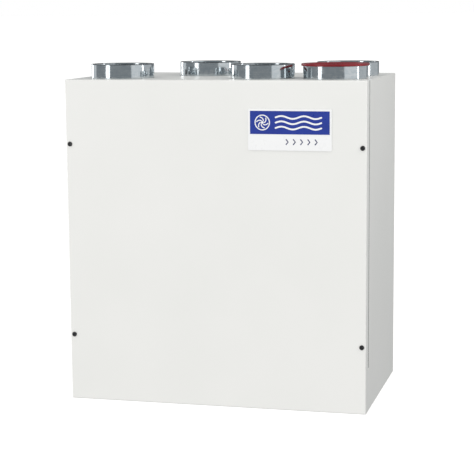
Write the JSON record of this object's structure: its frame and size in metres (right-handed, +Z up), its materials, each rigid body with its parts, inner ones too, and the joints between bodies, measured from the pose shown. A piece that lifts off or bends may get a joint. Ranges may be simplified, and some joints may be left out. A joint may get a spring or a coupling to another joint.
{
  "type": "heat recovery ventilation unit",
  "caption": "Wall-hung white ventilation unit with a lift-off insulated front door, round duct spigots on top, one of them capped, and a rotary heat exchanger inside.",
  "frame": {"origin": "centre of the unit's footprint (door face to back panel) at the casing's underside", "axes": "+Z up towards the spigots, -Y out of the door's face, +X to the right seen from the front"},
  "size_m": [0.598, 0.3831, 0.6694],
  "materials": {
    "white_paint": "semi-gloss white powder coat",
    "grey_foam": "dark grey moulded bead foam",
    "galvanised_sheet": "galvanised sheet steel with a faint spangle",
    "spigot_steel": "galvanised spigot tube, fine rolling lines",
    "black_rubber": "matte sealing strip",
    "black_steel": "black oxide screws",
    "plate_white": "white plastic plate",
    "plate_blue": "blue printed film",
    "red_plastic": "red moulded cap",
    "black_plastic": "black moulded plastic",
    "zinc_steel": "zinc plated steel",
    "cast_hub": "cast aluminium hub",
    "aluminium_foil": "wound aluminium foil",
    "belt_rubber": "polyurethane belt",
    "motor_grey": "grey motor shell",
    "pulley_plastic": "natural nylon pulley",
    "filter_card": "card filter frame",
    "filter_fleece": "pleated filter fleece",
    "heater_tube": "heat-tinted tubular element",
    "control_steel": "galvanised enclosure",
    "board_green": "green circuit board"
  },
  "bodies": {
    "casing": {"side_panel_left": "white_paint", "side_panel_right": "white_paint", "back_panel": "white_paint", "top_panel": "white_paint", "bottom_panel": "white_paint", "casing_insulation": "grey_foam", "rivet_nuts": "zinc_steel", "cable_glands": "black_plastic", "spigot_extract": "spigot_steel", "spigot_supply": "spigot_steel", "spigot_exhaust": "spigot_steel", "spigot_kitchen": "spigot_steel", "spigot_outdoor": "spigot_steel", "middle_shelves": "grey_foam", "center_partitions": "grey_foam", "divider_gaskets": "black_rubber", "rotor_cassette": "galvanised_sheet", "rotor_beams": "galvanised_sheet", "rotor_shaft": "zinc_steel", "rotor_seals": "black_rubber", "drive_belt": "belt_rubber", "drive_motor": "motor_grey", "exhaust_fan_scroll": "galvanised_sheet", "exhaust_fan_inlet_ring": "black_plastic", "exhaust_fan_motor": "motor_grey", "supply_fan_scroll": "galvanised_sheet", "supply_fan_inlet_ring": "black_plastic", "supply_fan_motor": "motor_grey", "exhaust_duct": "galvanised_sheet", "supply_duct": "galvanised_sheet", "outdoor_duct": "galvanised_sheet", "filter_rails": "galvanised_sheet", "heater_frame": "galvanised_sheet", "heater_elements": "heater_tube", "control_box": "control_steel", "control_box_cover": "control_steel", "control_board": "board_green", "temperature_probes": "zinc_steel", "wiring": "black_plastic", "hang_rail": "galvanised_sheet", "wall_rail": "galvanised_sheet", "wall_buffers": "black_rubber"},
    "door": {"door_skin": "white_paint", "door_insulation": "grey_foam", "door_inner_sheet": "galvanised_sheet", "door_gasket": "black_rubber", "door_screws": "black_steel", "name_plate": "plate_white", "name_plate_inlay": "plate_blue"},
    "rotor": {"rotor_hub": "cast_hub", "rotor_matrix": "aluminium_foil", "rotor_rim": "galvanised_sheet"},
    "pulley": {"motor_pulley": "pulley_plastic"},
    "exhaust_wheel": {"exhaust_fan_impeller": "black_plastic"},
    "supply_wheel": {"supply_fan_impeller": "black_plastic"},
    "extract_filter": {"extract_filter_frame": "filter_card", "extract_filter_media": "filter_fleece"},
    "outdoor_filter": {"outdoor_filter_frame": "filter_card", "outdoor_filter_media": "filter_fleece"},
    "cap": {"spigot_cap": "red_plastic"}
  },
  "joints": [
    {"name": "door_pull", "type": "slide", "parent": "casing", "child": "door", "axis": [0, -1, 0], "range_m": [0, 0.5]},
    {"name": "extract_filter_slide", "type": "slide", "parent": "casing", "child": "extract_filter", "axis": [0, -1, 0], "range_m": [0, 0.35]},
    {"name": "outdoor_filter_slide", "type": "slide", "parent": "casing", "child": "outdoor_filter", "axis": [0, -1, 0], "range_m": [0, 0.35]},
    {"name": "rotor_spin", "type": "hinge", "parent": "casing", "child": "rotor", "pos_m": [0, 0.0055, 0.32], "axis": [1, 0, 0], "continuous": true},
    {"name": "motor_pulley_spin", "type": "hinge", "parent": "casing", "child": "pulley", "pos_m": [-0.029, -0.119, 0.1955], "axis": [1, 0, 0], "continuous": true},
    {"name": "exhaust_fan_spin", "type": "hinge", "parent": "casing", "child": "exhaust_wheel", "pos_m": [0.175, -0.06, 0.44], "axis": [0, 1, 0], "continuous": true},
    {"name": "supply_fan_spin", "type": "hinge", "parent": "casing", "child": "supply_wheel", "pos_m": [-0.165, 0.104, 0.15], "axis": [0, 1, 0], "continuous": true},
    {"name": "cap_lift", "type": "slide", "parent": "casing", "child": "cap", "axis": [0, 0, 1], "range_m": [0, 0.08]}
  ],
  "couplings": [
    {"joint": "extract_filter_slide", "follows": "door_pull", "ratio": 0.7},
    {"joint": "outdoor_filter_slide", "follows": "door_pull", "ratio": 0.7},
    {"joint": "motor_pulley_spin", "follows": "rotor_spin", "ratio": 8.9375}
  ]
}
